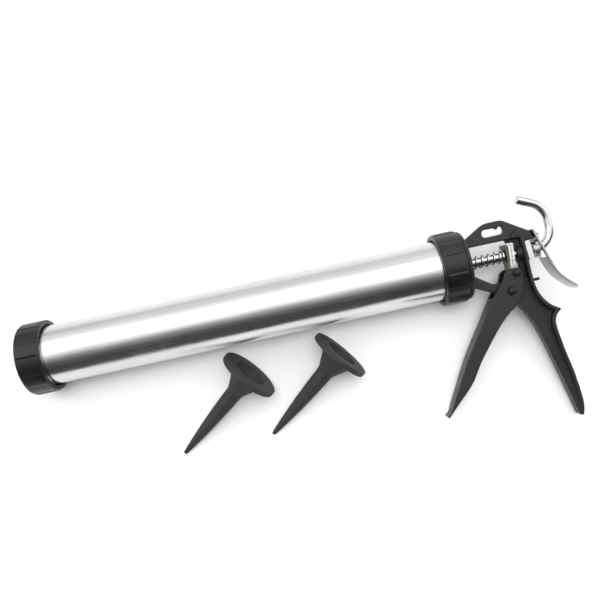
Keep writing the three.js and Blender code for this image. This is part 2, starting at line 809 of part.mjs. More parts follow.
function lockPlate() {
  const [x, z] = LOCK_CORNER;
  const block = box(0, LOCK_THICKNESS, -LOCK_HALF, LOCK_HALF, -LOCK_HEIGHT, 0);
  const tilted = block.rotate([0, -LOCK_TILT, 0]).translate([x, 0, z]);
  return tilted.subtract(shaft(x - 5, x + 20, ROD_BORE + GAP));
}

// Rear face of the lever, from its top to its tip
const LEVER_REAR_EDGE = [
  [76, 19.6],
  [79.3, 8.8, 4],
  [83.7, -3.6, 5],
  [86.1, -11.8, 5],
  [89, -20.2, 5],
  [92.3, -26.2, 4],
  [97.6, -32.2, 4],
  [103, -37.4, 2],
  [107.4, -41],
];

// The same line moved forward, square to itself, by the given step
function forward(corners, step) {
  return corners.map(([x, z, round], i) => {
    const before = corners[Math.max(i - 1, 0)];
    const after = corners[Math.min(i + 1, corners.length - 1)];
    const along = new THREE.Vector2(after[0] - before[0], after[1] - before[1]).normalize();
    return [x + along.y * step, z - along.x * step, round];
  });
}

// A flat strap, bent and narrowed towards its tip, with slots for the rod and for the frame's lug
function releaseLever() {
  const front = forward(LEVER_REAR_EDGE, LEVER_WALL).reverse();
  const [, top] = LEVER_REAR_EDGE[0];
  const [, tip] = LEVER_REAR_EDGE.at(-1);
  const tipHalf = LEVER_HALF - LEVER_TAPER;
  const tapered = taperedPlate([...LEVER_REAR_EDGE, ...front], LEVER_HALF, tipHalf, top, tip);
  const noseX = front[0][0] - GAP;
  const strap = tapered.warp((v) => {
    if (v[0] > noseX) v[1] *= LEVER_NOSE;
  });
  const half = LEVER_SLOT_HALF;
  const rodSlot = box(70, 90, -half, half, -half - 2 * PASSING_GAP, half);
  const lugHalf = LUG_HALF + GAP;
  const lugSlot = box(70, 85, -lugHalf, lugHalf, 10.8, 15.4);
  return strap.subtract(rodSlot).subtract(lugSlot);
}

function releaseSpring() {
  const radius = LEVER_SLOT_HALF + RELEASE_WIRE;
  const slope = Math.tan(THREE.MathUtils.degToRad(LOCK_TILT));
  const lockRear = LOCK_CORNER[0] + (LOCK_CORNER[1] + LOCK_THICKNESS * slope - radius) * slope;
  const start = lockRear + LOCK_THICKNESS + GAP + RELEASE_WIRE + radius * RELEASE_LEAN;
  const coil = new Coil({
    x: start,
    length: RELEASE_LENGTH,
    radius,
    turns: RELEASE_TURNS,
    lean: RELEASE_LEAN,
  });
  return bar(coil, RELEASE_WIRE, RELEASE_TURNS * 12, 3);
}

const stopPin = () =>
  shaft(STOP_PIN_ROOT, STOP_PIN_END, STOP_PIN_RADIUS).translate([0, 0, STOP_PIN_Z]);

// ---- The gun, upright ------------------------------------------------------------------------

const gun = new THREE.Group();
gun.add(named('barrel_tube', barrelTube(), polishedTube()));
gun.add(named('front_cap', frontCap(), blackPlastic()));
gun.add(named('rear_cap', rearCap(), blackPlastic()));
gun.add(named('frame', frame(), castBlack()));
screwPlaces().forEach((place, i) => {
  gun.add(named(`frame_screw_${i + 1}`, frameScrew(place), brightZinc()));
});
gun.add(named('rod', rod(), brightZinc()));
gun.add(...pistonParts());
gun.add(named('trigger', trigger(), castBlack()));
gun.add(named('trigger_pivot_pin', rivet(PIVOT, PIVOT_PIN_RADIUS), blackRivet()));
gun.add(named('trigger_roller_pin', rivet(ROLLER_PIN, ROLLER_PIN_RADIUS), blackRivet()));
gun.add(named('trigger_roller', roller(), brightZinc()));
gun.add(named('pusher_plate', pusherPlate(), oliveZinc()));
gun.add(named('grip_plate_front', gripPlate(0), brightZinc()));
gun.add(named('grip_plate_rear', gripPlate(1), brightZinc()));
gun.add(named('return_spring', returnSpring(), springSteel()));
gun.add(named('lock_plate', lockPlate(), brightZinc()));
gun.add(named('release_spring', releaseSpring(), springSteel()));
gun.add(named('release_lever', releaseLever(), brightZinc()));
gun.add(named('stop_pin', stopPin(), blackRivet()));

// ---- Everything laid on the ground -----------------------------------------------------------

// The gun leans from its side by this angle, so that the handle's tip comes down to the ground
const tipReach = Math.hypot(HANDLE_TIP_HALF, HANDLE_TIP[1]);
const lean = Math.asin(REST_RADIUS / tipReach) - Math.atan2(HANDLE_TIP_HALF, -HANDLE_TIP[1]);
gun.rotation.x = lean - Math.PI / 2;
gun.position.z = REST_RADIUS;

// A nozzle lies on its flange's rim and its tip
function lyingNozzle(name, x) {
  const heading = THREE.MathUtils.degToRad(NOZZLE_HEADING);
  const dip = Math.atan((FLANGE_RADIUS - TIP_RADIUS) / (NOZZLE_LENGTH - FLANGE_THICKNESS));
  const body = named(name, nozzle(), nozzleGrey());
  body.rotation.set(0, dip, heading, 'ZYX');
  const y = -(TUBE_RADIUS + NOZZLE_TUBE_GAP - FLANGE_RADIUS * Math.cos(heading));
  const z = FLANGE_RADIUS * Math.cos(dip) + FLANGE_THICKNESS * Math.sin(dip);
  body.position.set(x, y, z);
  return body;
}

const model = new THREE.Group();
model.add(gun);
NOZZLE_X.forEach((x, i) => model.add(lyingNozzle(`nozzle_${i + 1}`, x)));

// The origin is on the ground, under the middle of the whole outline
model.updateMatrixWorld(true);
const bounds = new THREE.Box3().setFromObject(model, true);
const middle = bounds.getCenter(new THREE.Vector3());
model.position.set(-middle.x, -middle.y, -bounds.min.z);

export default model;
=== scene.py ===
"""Looks of the caulking gun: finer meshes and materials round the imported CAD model.

The gun is drawn in its own upright frame, in millimetres: X runs along the barrel with 0 at the
tube's rear end, Z goes up to the arch and Y across. GUN lays that frame on the ground where the
CAD model has it. Sizes come from the CAD nodes' own boxes wherever a node gives them.
"""

import json
import math

import bmesh
import bpy
from mathutils import Matrix, Vector


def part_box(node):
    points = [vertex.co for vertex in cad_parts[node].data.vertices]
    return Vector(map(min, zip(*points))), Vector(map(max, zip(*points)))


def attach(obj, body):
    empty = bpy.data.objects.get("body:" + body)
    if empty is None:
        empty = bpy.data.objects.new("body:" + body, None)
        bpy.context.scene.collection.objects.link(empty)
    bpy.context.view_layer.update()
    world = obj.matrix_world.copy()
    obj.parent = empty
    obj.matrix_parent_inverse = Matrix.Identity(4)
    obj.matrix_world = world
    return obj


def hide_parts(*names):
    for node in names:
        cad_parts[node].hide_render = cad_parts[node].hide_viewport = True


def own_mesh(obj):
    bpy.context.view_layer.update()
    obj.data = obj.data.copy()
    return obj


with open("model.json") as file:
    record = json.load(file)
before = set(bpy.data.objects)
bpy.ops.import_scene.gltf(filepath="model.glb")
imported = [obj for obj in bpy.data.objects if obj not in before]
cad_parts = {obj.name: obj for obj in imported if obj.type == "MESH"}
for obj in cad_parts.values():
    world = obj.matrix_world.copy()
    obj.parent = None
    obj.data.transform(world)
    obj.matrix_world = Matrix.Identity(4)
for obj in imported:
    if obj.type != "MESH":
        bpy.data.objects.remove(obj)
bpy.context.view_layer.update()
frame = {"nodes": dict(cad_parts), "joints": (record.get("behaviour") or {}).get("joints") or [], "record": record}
MM = 0.001
JOINTS = {joint["name"]: joint for joint in frame["joints"]}

# ---- Fine sizes that the CAD boxes don't give, in millimetres unless a comment says otherwise ----

RUNNING_GAP = 0.35  # round the rod
ROLLER_GAP = 0.3  # round the roller's pin

THREAD_HEIGHT = 1.3
THREAD_PITCH = 4
THREAD_FADE = 3  # length over which the thread rises from the plain tube
THREAD_MARGIN = 1.5  # from the tube's end to the thread
THREAD_SHARPNESS = 1.5  # power that narrows the crests
FRONT_THREAD = 12
REAR_THREAD = 16
THREAD_STEP = 0.4
TUBE_WALL = 1.5
TUBE_EDGE = 0.4

CAP_THICKNESS = 4.15
CAP_EDGE = 1.6
CAP_STEPS = 24
LIP = 3.6
MOUTH_RADIUS = 19.5
END_WALL = 4.4
RIB_COUNT = 7
RIB_HEIGHT = 0.6
RIB_WIDTH = 12.4
RIB_EASE = 0.9  # width of a rib's slope
FRONT_PHASE = -36  # degrees from -Y towards +Z of a rib's middle
REAR_PHASE = -21.6

HOOK_RADIUS = 19
HOOK_TOP_RADIUS = 20
HOOK_TURN = 65  # degrees that the upper bend turns
HOOK_RISE = 5.9
HOOK_END = 14.9
ROD_STEP = 96  # between stations on the rod's straight stretch
ROD_CHAMFER = 0.7

CUP_WALL = 4
CUP_SKIRT = 3
CUP_NOSE = 3  # rounding of the cup's front edge
CUP_LIP = 5  # length over which the skirt's edge draws in
CUP_LIP_INSET = 0.2

RIVET_HEAD = 2.1
PIN_RADIUS = {"trigger_pivot_pin": 3, "trigger_roller_pin": 1.7}
BEVELS = {"pusher_plate": 0.2, "grip_plate_front": 0.3, "grip_plate_rear": 0.3, "lock_plate": 0.6}
NUT_BEVEL = 0.4
SHARP = 25  # degrees between faces from which an edge is bevelled

# For softened(): voxel size, smoothing passes and the share of faces kept
SOFT_NODES = {"frame": (0.55, 3, 0.2), "trigger": (0.45, 3, 0.2), "release_lever": (0.34, 4, 0.3)}

RETURN_WIRE = 1
RETURN_TURNS = 7
RETURN_DEAD_TURNS = 1  # that lie side by side at the grip plates
DEAD_GAP = 0.3  # between them
RELEASE_WIRE = 0.5
RELEASE_TURNS = 4
RELEASE_LENGTH = 4.9
RELEASE_LEAN = 0.2  # how far a turn leans back for its height

FLANGE = 4.3
CONE_RADIUS = 17.5
CONE_LENGTH = 19.2
SPOUT_RADIUS = 7.8
SPOUT_BULGE = 1.1  # how far the spout swells outside a straight taper
TIP_RADIUS = 1.8
TIP_BORE = 0.8
NOZZLE_WALL = 1.8

# ---- The gun's own frame ---------------------------------------------------------------------


def gun_frame():
    """Matrix from the upright gun frame, in millimetres, to the row frame, in metres."""
    low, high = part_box("barrel_tube")
    along = Vector((1, 0, 0))
    across = -Vector(JOINTS["trigger_pull"]["axis"]).normalized()
    up = along.cross(across)
    origin = Vector((high.x, (low.y + high.y) / 2, (low.z + high.z) / 2))
    turn = Matrix((along, across, up)).transposed().to_4x4()
    return Matrix.Translation(origin) @ turn @ Matrix.Scale(MM, 4)


GUN = gun_frame()
TO_GUN = GUN.inverted()


def gun_box(node):
    """Lowest and highest corner of a CAD node in the gun's frame, in millimetres."""
    points = [TO_GUN @ v.co for v in frame["nodes"][node].data.vertices]
    low = Vector(min(p[i] for p in points) for i in range(3))
    high = Vector(max(p[i] for p in points) for i in range(3))
    return low, high


# ---- Materials -------------------------------------------------------------------------------


class Nodes:
    """A short way to write a node tree."""

    def __init__(self, tree):
        self.tree = tree

    def add(self, kind, **values):
        node = self.tree.nodes.new(kind)
        for name, value in values.items():
            setattr(node, name, value)
        return node

    def link(self, source, target):
        self.tree.links.new(source, target)

    def place(self, scale):
        """Object coordinates stretched by scale, in waves per metre."""
        coordinates = self.add("ShaderNodeTexCoord").outputs["Object"]
        mapping = self.add("ShaderNodeMapping")
        mapping.inputs["Scale"].default_value = scale
        self.link(coordinates, mapping.inputs["Vector"])
        return mapping.outputs["Vector"]

    def noise(self, scale, detail):
        texture = self.add("ShaderNodeTexNoise")
        texture.inputs["Scale"].default_value = 1.0
        texture.inputs["Detail"].default_value = detail
        texture.inputs["Roughness"].default_value = 0.55
        self.link(self.place(scale), texture.inputs["Vector"])
        return texture.outputs["Fac"]

    def spread(self, value, low, high, start=0.3, end=0.7):
        """The value taken from start..end to low..high."""
        span = self.add("ShaderNodeMapRange")
        limits = {"From Min": start, "From Max": end, "To Min": low, "To Max": high}
        for name, number in limits.items():
            span.inputs[name].default_value = number
        self.link(value, span.inputs["Value"])
        return span.outputs["Result"]

    def math(self, operation, a, b):
        node = self.add("ShaderNodeMath", operation=operation)
        for socket, value in zip(node.inputs, (a, b)):
            if isinstance(value, (int, float)):
                socket.default_value = value
            else:
                self.link(value, socket)
        return node.outputs["Value"]

    def blend(self, factor, first, second):
        """Colour from first to second; each is a colour or another node's output."""
        mix = self.add("ShaderNodeMix", data_type="RGBA")
        self.link(factor, mix.inputs["Factor"])
        for socket, value in ((mix.inputs[6], first), (mix.inputs[7], second)):
            if isinstance(value, tuple):
                socket.default_value = (*value, 1)
            else:
                self.link(value, socket)
        return mix.outputs[2]

    def bump(self, height, depth, below=None):
        node = self.add("ShaderNodeBump")
        node.inputs["Strength"].default_value = 1.0
        node.inputs["Distance"].default_value = depth
        self.link(height, node.inputs["Height"])
        if below is not None:
            self.link(below, node.inputs["Normal"])
        return node.outputs["Normal"]


def shader(name, metallic=0.0, **sockets):
    """A new material's Nodes and its Principled shader."""
    made = bpy.data.materials.new(name)
    made.use_nodes = True
    principled = made.node_tree.nodes["Principled BSDF"]
    principled.inputs["Metallic"].default_value = metallic
    for socket, value in sockets.items():
        principled.inputs[socket.replace("_", " ")].default_value = value
    return made, Nodes(made.node_tree), principled


def finish_with(nodes, principled, colour, roughness, normal):
    """Plugs what a material worked out into its shader."""
    nodes.link(colour, principled.inputs["Base Color"])
    nodes.link(roughness, principled.inputs["Roughness"])
    nodes.link(normal, principled.inputs["Normal"])


def polished_tube():
    """Drawn aluminium: streaks along the tube, smudges, and a slight waviness."""
    made, n, principled = shader("tube_aluminium", 1.0)
    streaks = n.noise((6, 420, 420), 3)
    smudges = n.noise((14, 22, 22), 5)
    fine = n.noise((60, 1800, 1800), 2)
    colour = n.blend(n.spread(streaks, 0, 1), (0.62, 0.63, 0.64), (0.70, 0.705, 0.71))
    worn = n.blend(n.spread(smudges, 0, 0.5), colour, (0.56, 0.565, 0.57))
    roughness = n.math("ADD", n.spread(smudges, 0.16, 0.27), n.spread(streaks, 0, 0.06))
    waves = n.bump(n.noise((9, 26, 26), 2), 0.0006)
    finish_with(n, principled, worn, roughness, n.bump(fine, 0.000004, waves))
    return made


def moulded(name, dark, light, low, high):
    """Moulded plastic or rubber: fine grain, soft blotches and faint scuffs.

    Here and below, the colour wanders from dark to light and the roughness from low to high.
    """
    made, n, principled = shader(name, 0.0, Specular_IOR_Level=0.35)
    blotches = n.noise((38, 38, 38), 5)
    scuffs = n.noise((90, 520, 520), 3)
    tint = n.blend(n.spread(blotches, 0, 1), dark, light)
    scuffed = n.blend(n.spread(scuffs, 0, 0.35, 0.6, 0.85), tint, tuple(3 * c for c in light))
    roughness = n.math("ADD", n.spread(blotches, low, high), n.spread(scuffs, 0, 0.08, 0.5, 0.8))
    normal = n.bump(n.noise((1500, 1500, 1500), 2), 0.00002)
    finish_with(n, principled, scuffed, roughness, normal)
    return made


def coated(name, dark, light, low, high):
    """Satin coat on a casting: orange peel, soft blotches, rubbed edges, and painted shade that darkens the colour
    in corners and recesses.
    """
    made, n, principled = shader(name, 0.0, Specular_IOR_Level=0.3)
    blotches = n.noise((45, 45, 45), 5)
    edge = n.add("ShaderNodeNewGeometry").outputs["Pointiness"]
    patchy = n.spread(blotches, 0.2, 1, 0.4, 0.7)
    rubbed = n.math("MULTIPLY", n.spread(edge, 0, 1, 0.53, 0.62), patchy)
    tint = n.blend(n.spread(blotches, 0, 1), dark, light)
    # Painted shade: ambient occlusion darkens the colour towards a quarter of the dark tone in corners, creases
    # and recesses, where shade falls.
    painted_shade_ao = n.add("ShaderNodeAmbientOcclusion", samples=6)
    painted_shade_ao.inputs["Distance"].default_value = 0.012
    shade = tuple(0.25 * c for c in dark)
    painted_crevice_shade = n.blend(n.spread(painted_shade_ao.outputs["AO"], 0, 1, 0.25, 0.8), shade, tint)
    colour = n.blend(rubbed, painted_crevice_shade, tuple(2.6 * c for c in light))
    roughness = n.spread(n.noise((160, 160, 160), 3), low, high)
    peel = n.bump(n.noise((520, 520, 520), 2), 0.00006)
    grain = n.bump(n.noise((2600, 2600, 2600), 2), 0.000012, peel)
    finish_with(n, principled, colour, roughness, grain)
    return made


def bright_metal(name, dark, light, low, high, grain=(900, 900, 900)):
    """Plated steel: cloudy plating, fine grain, roughness that wanders."""
    made, n, principled = shader(name, 1.0)
    clouds = n.noise((120, 120, 120), 4)
    colour = n.blend(n.spread(clouds, 0, 1, 0.35, 0.65), dark, light)
    roughness = n.spread(n.noise((260, 260, 260), 3), low, high)
    waves = n.bump(n.noise((110, 110, 110), 2), 0.00002)
    finish_with(n, principled, colour, roughness, n.bump(n.noise(grain, 2), 0.000008, waves))
    return made


# Each slot's maker, then its dark and light colour and its lowest and highest roughness
FINISHES = {
    "cap_plastic": (moulded, (0.006, 0.0065, 0.0075), (0.01, 0.0105, 0.012), 0.26, 0.36),
    "nozzle_plastic": (moulded, (0.026, 0.0265, 0.027), (0.034, 0.0345, 0.035), 0.6, 0.72),
    "piston_rubber": (moulded, (0.012, 0.012, 0.012), (0.02, 0.02, 0.02), 0.6, 0.8),
    "cast_black": (coated, (0.015, 0.0162, 0.0162), (0.022, 0.0236, 0.0236), 0.33, 0.45),
    "trigger_black": (coated, (0.018, 0.0192, 0.0192), (0.025, 0.0266, 0.0266), 0.33, 0.45),
    "rivet_black": (coated, (0.007, 0.0075, 0.0075), (0.012, 0.0125, 0.0125), 0.26, 0.36),
    "rod_steel": (bright_metal, (0.52, 0.53, 0.53), (0.6, 0.6, 0.6), 0.12, 0.24, (80, 2000, 2000)),
    "plate_zinc": (bright_metal, (0.6, 0.6, 0.58), (0.7, 0.7, 0.68), 0.22, 0.36),
    "lever_zinc": (bright_metal, (0.42, 0.42, 0.41), (0.5, 0.5, 0.49), 0.26, 0.4),
    "pusher_olive": (bright_metal, (0.1, 0.1, 0.075), (0.15, 0.15, 0.118), 0.32, 0.45),
    "spring_steel": (bright_metal, (0.58, 0.59, 0.58), (0.72, 0.72, 0.71), 0.16, 0.28),
    "fastener_steel": (bright_metal, (0.62, 0.62, 0.6), (0.74, 0.74, 0.72), 0.22, 0.36),
}
MATERIALS = {"tube_aluminium": polished_tube()}
for slot, (maker, *finish) in FINISHES.items():
    MATERIALS[slot] = maker(slot, *finish)

SLOT_OF = {part["node"]: part["material_slot"] for part in frame["record"]["subparts"]}
BODY_OF = {
    node: body
    for body, members in frame["record"]["behaviour"]["bodies"].items()
    for node in members
}

# ---- Mesh helpers ----------------------------------------------------------------------------


def rounded(corners):
    """A line or outline through [a, b, round] corners, with each round corner as a short curve."""
    steps = 5
    points = []
    count = len(corners)
    for i, (a, b, *rest) in enumerate(corners):
        here = Vector((a, b))
        reach = rest[0] if rest else 0
        if not reach:
            points.append(here)
            continue
        before = Vector(corners[i - 1][:2])
        after = Vector(corners[(i + 1) % count][:2])
        start = here + (before - here).normalized() * min(reach, 0.45 * (before - here).length)
        end = here + (after - here).normalized() * min(reach, 0.45 * (after - here).length)
        for k in range(steps + 1):
            t = k / steps
            points.append(start * (1 - t) ** 2 + here * 2 * t * (1 - t) + end * t * t)
    return points


def mesh_object(name, points, faces, place=GUN):
    """A linked object from points in the frame that place takes to the row's."""
    mesh = bpy.data.meshes.new(name)
    mesh.from_pydata([place @ Vector(p) for p in points], [], faces)
    mesh.validate()
    made = bpy.data.objects.new(name, mesh)
    bpy.context.scene.collection.objects.link(made)
    return made


def smooth(made, angle=35):
    """Shades a piece smooth, apart from the edges sharper than angle."""
    made.data.shade_smooth()
    limit = math.radians(angle)
    work = bmesh.new()
    work.from_mesh(made.data)
    bmesh.ops.recalc_face_normals(work, faces=work.faces)
    for edge in work.edges:
        if len(edge.link_faces) == 2:
            edge.smooth = edge.calc_face_angle(0) < limit
    work.to_mesh(made.data)
    work.free()
    return made


def lathed(name, profile, segments, place=GUN, radius=None):
    """A closed [x, r, round] profile turned about X. radius(r, x, angle) may change each point."""
    line = rounded(profile)
    points, faces = [], []
    for i in range(segments):
        angle = 2 * math.pi * i / segments
        for p in line:
            r = radius(p.y, p.x, angle) if radius else p.y
            points.append((p.x, r * math.cos(angle), r * math.sin(angle)))
    count = len(line)
    for i in range(segments):
        here, there = i * count, ((i + 1) % segments) * count
        for k in range(count):
            after = (k + 1) % count
            if line[k].y < 1e-6 and line[after].y < 1e-6:
                continue
            faces.append((here + k, here + after, there + after, there + k))
    made = mesh_object(name, points, faces, place)
    merge(made, 1e-7)
    return smooth(made)


def swept(name, path, radius, sides, chamfer):
    """A round bar along a path, with chamfered ends."""
    last = len(path) - 1
    along = [(path[min(i + 1, last)] - path[max(i - 1, 0)]).normalized() for i in range(last + 1)]
    along[0] = (path[1] - path[0]).normalized()
    along[last] = (path[last] - path[last - 1]).normalized()
    stations = [(path[0], along[0], radius - chamfer), (path[0] + chamfer * along[0], along[0], radius)]
    stations += [(path[i], along[i], radius) for i in range(1, last)]
    stations += [(path[last] - chamfer * along[last], along[last], radius),
                 (path[last], along[last], radius - chamfer)]
    points, faces = [], []
    out = along[0].orthogonal().normalized()
    for centre, way, r in stations:
        out = (out - way * out.dot(way)).normalized()
        side = way.cross(out)
        for k in range(sides):
            angle = 2 * math.pi * k / sides
            points.append(centre + r * (out * math.cos(angle) + side * math.sin(angle)))
    for i in range(len(stations) - 1):
        for k in range(sides):
            a, b = i * sides + k, i * sides + (k + 1) % sides
            faces.append((a, b, b + sides, a + sides))
    faces.append(tuple(range(sides)))
    faces.append(tuple(range(len(points) - sides, len(points))))
    return smooth(mesh_object(name, points, faces))


def merge(made, distance):
    """Joins the piece's vertices that lie closer together than distance."""
    work = bmesh.new()
    work.from_mesh(made.data)
    bmesh.ops.remove_doubles(work, verts=work.verts, dist=distance)
    work.to_mesh(made.data)
    work.free()


def applied(made):
    """The piece with its modifiers applied."""
    view = bpy.context.evaluated_depsgraph_get()
    mesh = bpy.data.meshes.new_from_object(made.evaluated_get(view))
    made.modifiers.clear()
    made.data = mesh
    return made


def softened(node, voxel, passes, keep):
    """A CAD node's shape with soft edges and filled corners, as casting or pressing leaves it."""
    mesh = frame["nodes"][node].data.copy()
    mesh.transform(TO_GUN)
    made = bpy.data.objects.new(node + "_fine", mesh)
    bpy.context.scene.collection.objects.link(made)
    remesh = made.modifiers.new("remesh", "REMESH")
    remesh.mode = "VOXEL"
    remesh.voxel_size = voxel
    ease = made.modifiers.new("ease", "SMOOTH")
    ease.factor = 0.5
    ease.iterations = passes
    thin = made.modifiers.new("thin", "DECIMATE")
    thin.ratio = keep
    applied(made)
    made.data.transform(GUN)
    made.data.shade_smooth()
    return dress(made, node)


def bevelled(node, width):
    """A CAD node's shape with its sharp edges slightly rounded, for plates and nuts."""
    mesh = frame["nodes"][node].data.copy()
    mesh.transform(TO_GUN)
    work = bmesh.new()
    work.from_mesh(mesh)
    bmesh.ops.remove_doubles(work, verts=work.verts, dist=1e-3)
    bmesh.ops.dissolve_limit(work, angle_limit=math.radians(1), verts=work.verts, edges=work.edges)
    sharp = [e for e in work.edges if len(e.link_faces) == 2
             and e.calc_face_angle(0) > math.radians(SHARP)]
    bmesh.ops.bevel(work, geom=sharp, offset=width, segments=3, profile=0.5, affect="EDGES",
                    clamp_overlap=True)
    work.to_mesh(mesh)
    work.free()
    mesh.transform(GUN)
    made = bpy.data.objects.new(node + "_fine", mesh)
    bpy.context.scene.collection.objects.link(made)
    smooth(made, 40)
    weighted = made.modifiers.new("weighted", "WEIGHTED_NORMAL")
    weighted.keep_sharp = True
    return dress(made, node)


def dress(made, *nodes):
    """The piece stands in for CAD nodes: it hides them, takes the material of their slot and joins their body."""
    first = nodes[0]
    made.data.materials.clear()
    made.data.materials.append(MATERIALS[SLOT_OF[first]])
    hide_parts(*nodes)
    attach(made, BODY_OF[first])
    return made


# ---- Barrel and caps -------------------------------------------------------------------------

CAP_RADIUS = GUN.translation.z / MM - RIB_HEIGHT  # the gun lies on its caps' ribs


def eased(value):
    """The value held to 0..1, with a soft start and end."""
    value = min(max(value, 0), 1)
    return value * value * (3 - 2 * value)


def barrel_tube():
    """The tube, with a one-start thread rolled into its wall at each end."""
    low, high = gun_box("barrel_tube")
    crest = high.z
    root = crest - THREAD_HEIGHT
    bore = root - TUBE_WALL
    front = low.x + THREAD_MARGIN
    rear = high.x - THREAD_MARGIN
    zones = ((front, front + FRONT_THREAD), (rear - REAR_THREAD, rear))

    def radius(r, x, angle):
        for start, end in zones:
            if start < x < end:
                fade = eased(min(x - start, end - x) / THREAD_FADE)
                wave = 0.5 + 0.5 * math.cos(2 * math.pi * (x / THREAD_PITCH) + angle)
                return r + fade * THREAD_HEIGHT * wave**THREAD_SHARPNESS
        return r

    stations = []
    for start, end in zones:
        steps = round((end - start) / THREAD_STEP)
        stations += [start + (end - start) * i / steps for i in range(steps + 1)]
    outside = [(x, root) for x in stations]
    inside = [(x, bore) for x in reversed(stations[:: len(stations) // 6])]
    profile = [
        (low.x, bore, TUBE_EDGE), (low.x, root, TUBE_EDGE), *outside,
        (high.x, root, TUBE_EDGE), (high.x, bore, TUBE_EDGE), *inside,
    ]
    return dress(lathed("barrel_tube_fine", profile, 144, radius=radius), "barrel_tube")


def ribbed(low, high, phase):
    """radius() for a cap from low to high: ribs along its outside, easing out before both edges."""

    def radius(r, x, angle):
        if r < CAP_RADIUS - CAP_EDGE:
            return r
        pitch = 2 * math.pi / RIB_COUNT
        turn = (angle - math.pi + math.radians(phase) + pitch / 2) % pitch - pitch / 2
        beside = RIB_WIDTH / 2 - abs(turn) * r
        before = min(x - low, high - x) - CAP_EDGE * 0.6
        raised = eased(beside / RIB_EASE + 0.5) * eased(before / RIB_EASE)
        return r + RIB_HEIGHT * raised

    return radius


def cap(node, phase, before, after):
    """A ribbed cap: the profile's points before its outer wall, the wall, and the points after."""
    low, high = gun_box(node)
    step = (high.x - low.x - 2 * CAP_EDGE) / CAP_STEPS
    wall = [(low.x + CAP_EDGE + step * i, CAP_RADIUS) for i in range(1, CAP_STEPS)]
    corners = ((low.x, CAP_RADIUS, CAP_EDGE), (high.x, CAP_RADIUS, CAP_EDGE))
    profile = [*before, corners[0], *wall, corners[1], *after]
    made = lathed(node + "_fine", profile, 252, radius=ribbed(low.x, high.x, phase))
    return dress(made, node)


def front_cap():
    """Open in front, where a nozzle's cone comes through the mouth."""
    low, high = gun_box("front_cap")
    bore = CAP_RADIUS - CAP_THICKNESS
    seat = low.x + LIP
    mouth = [(low.x, MOUTH_RADIUS, 0.6)]
    inside = [(high.x, bore, 0.5), (seat, bore, 0.6), (seat, MOUTH_RADIUS, 0.6)]
    return cap("front_cap", FRONT_PHASE, mouth, inside)


def rear_cap():
    """Closed behind by a wall, with a hole for the rod."""
    low, high = gun_box("rear_cap")
    bore = CAP_RADIUS - CAP_THICKNESS
    hole = rod_hole()
    wall = high.x - END_WALL
    inside = [(high.x, hole), (wall, hole), (wall, bore, 1)]
    return cap("rear_cap", REAR_PHASE, [(low.x, bore, 0.5)], inside)


# ---- Rod and piston --------------------------------------------------------------------------


def rod_hole():
    """Radius of a hole that the rod runs through."""
    return gun_box("rod")[1].y + RUNNING_GAP


def arc(centre, radius, start, end, steps):
    """Points of an arc in the plane of X and Z, angles in degrees from +X towards +Z."""
    points = []
    for i in range(steps + 1):
        angle = math.radians(start + (end - start) * i / steps)
        across, up = radius * math.cos(angle), radius * math.sin(angle)
        points.append(Vector((centre[0] + across, 0, centre[1] + up)))
    return points


def rod():
    """A straight bar whose rear end turns up and over into a hook."""
    low, high = gun_box("rod")
    radius = high.y
    start = high.x - radius - HOOK_RADIUS
    upper = (start + HOOK_RADIUS - HOOK_TOP_RADIUS, HOOK_RADIUS + HOOK_RISE)
    path = [Vector((low.x + ROD_STEP * i, 0, 0)) for i in range(5)]
    path += arc((start, HOOK_RADIUS), HOOK_RADIUS, -90, 0, 24)
    path += arc(upper, HOOK_TOP_RADIUS, 0, HOOK_TURN, 14)
    leave = math.radians(HOOK_TURN + 90)
    path.append(path[-1] + HOOK_END * Vector((math.cos(leave), 0, math.sin(leave))))
    return dress(swept("rod_fine", path, radius, 40, ROD_CHAMFER), "rod")


def piston():
    """The cup that seals in the barrel, its two plates and the two nuts that hold them."""
    low, high = gun_box("piston_cup")
    outer = high.z
    inner = outer - CUP_SKIRT
    hole = rod_hole()
    face = low.x + CUP_WALL
    cup = [
        (low.x, hole, 0.5), (low.x, outer, CUP_NOSE), (high.x - CUP_LIP, outer),
        (high.x, outer - CUP_LIP_INSET, 1.4), (high.x, inner, 1.4), (face, inner, 2), (face, hole, 0.5),
    ]
    dress(lathed("piston_cup_fine", cup, 128), "piston_cup")
    for node in ("piston_front_plate", "piston_rear_plate"):
        low, high = gun_box(node)
        plate = [(low.x, hole, 0.3), (low.x, high.z, 0.5), (high.x, high.z, 0.5), (high.x, hole, 0.3)]
        dress(lathed(node + "_fine", plate, 96), node)
    for node in ("rod_nut_front", "rod_nut_rear"):
        bevelled(node, NUT_BEVEL)


# ---- Frame, trigger and levers ---------------------------------------------------------------


def across(node):
    """Matrix that turns X along a cross pin, from its middle."""
    low, high = gun_box(node)
    middle = (low + high) / 2
    return GUN @ Matrix.Translation(middle) @ Matrix.Rotation(math.pi / 2, 4, "Z")


def rivet(node):
    """A pin with a flattened dome on each end, upset against the trigger's cheeks."""
    low, high = gun_box(node)
    head = (high.x - low.x) / 2
    half = (high.y - low.y) / 2
    seat = half - RIVET_HEAD
    dome = [(seat, head, 0.3)]
    for i in range(1, 9):
        angle = math.pi / 2 * i / 9
        dome.append((seat + RIVET_HEAD * math.sin(angle) ** 0.8, head * math.cos(angle) ** 0.75))
    right = [(seat, PIN_RADIUS[node]), *dome, (half, 0)]
    left = [(-x, *rest) for x, *rest in reversed(right)]
    return dress(lathed(node + "_fine", left + right, 48, across(node)), node)


def roller():
    """The roller on the trigger's upper pin, which pushes the pusher plate."""
    low, high = gun_box("trigger_roller")
    half = (high.y - low.y) / 2
    outer = (high.x - low.x) / 2
    hole = PIN_RADIUS["trigger_roller_pin"] + ROLLER_GAP
    profile = [(-half, hole, 0.2), (-half, outer, 0.5), (half, outer, 0.5), (half, hole, 0.2)]
    return dress(lathed("trigger_roller_fine", profile, 48, across("trigger_roller")), "trigger_roller")


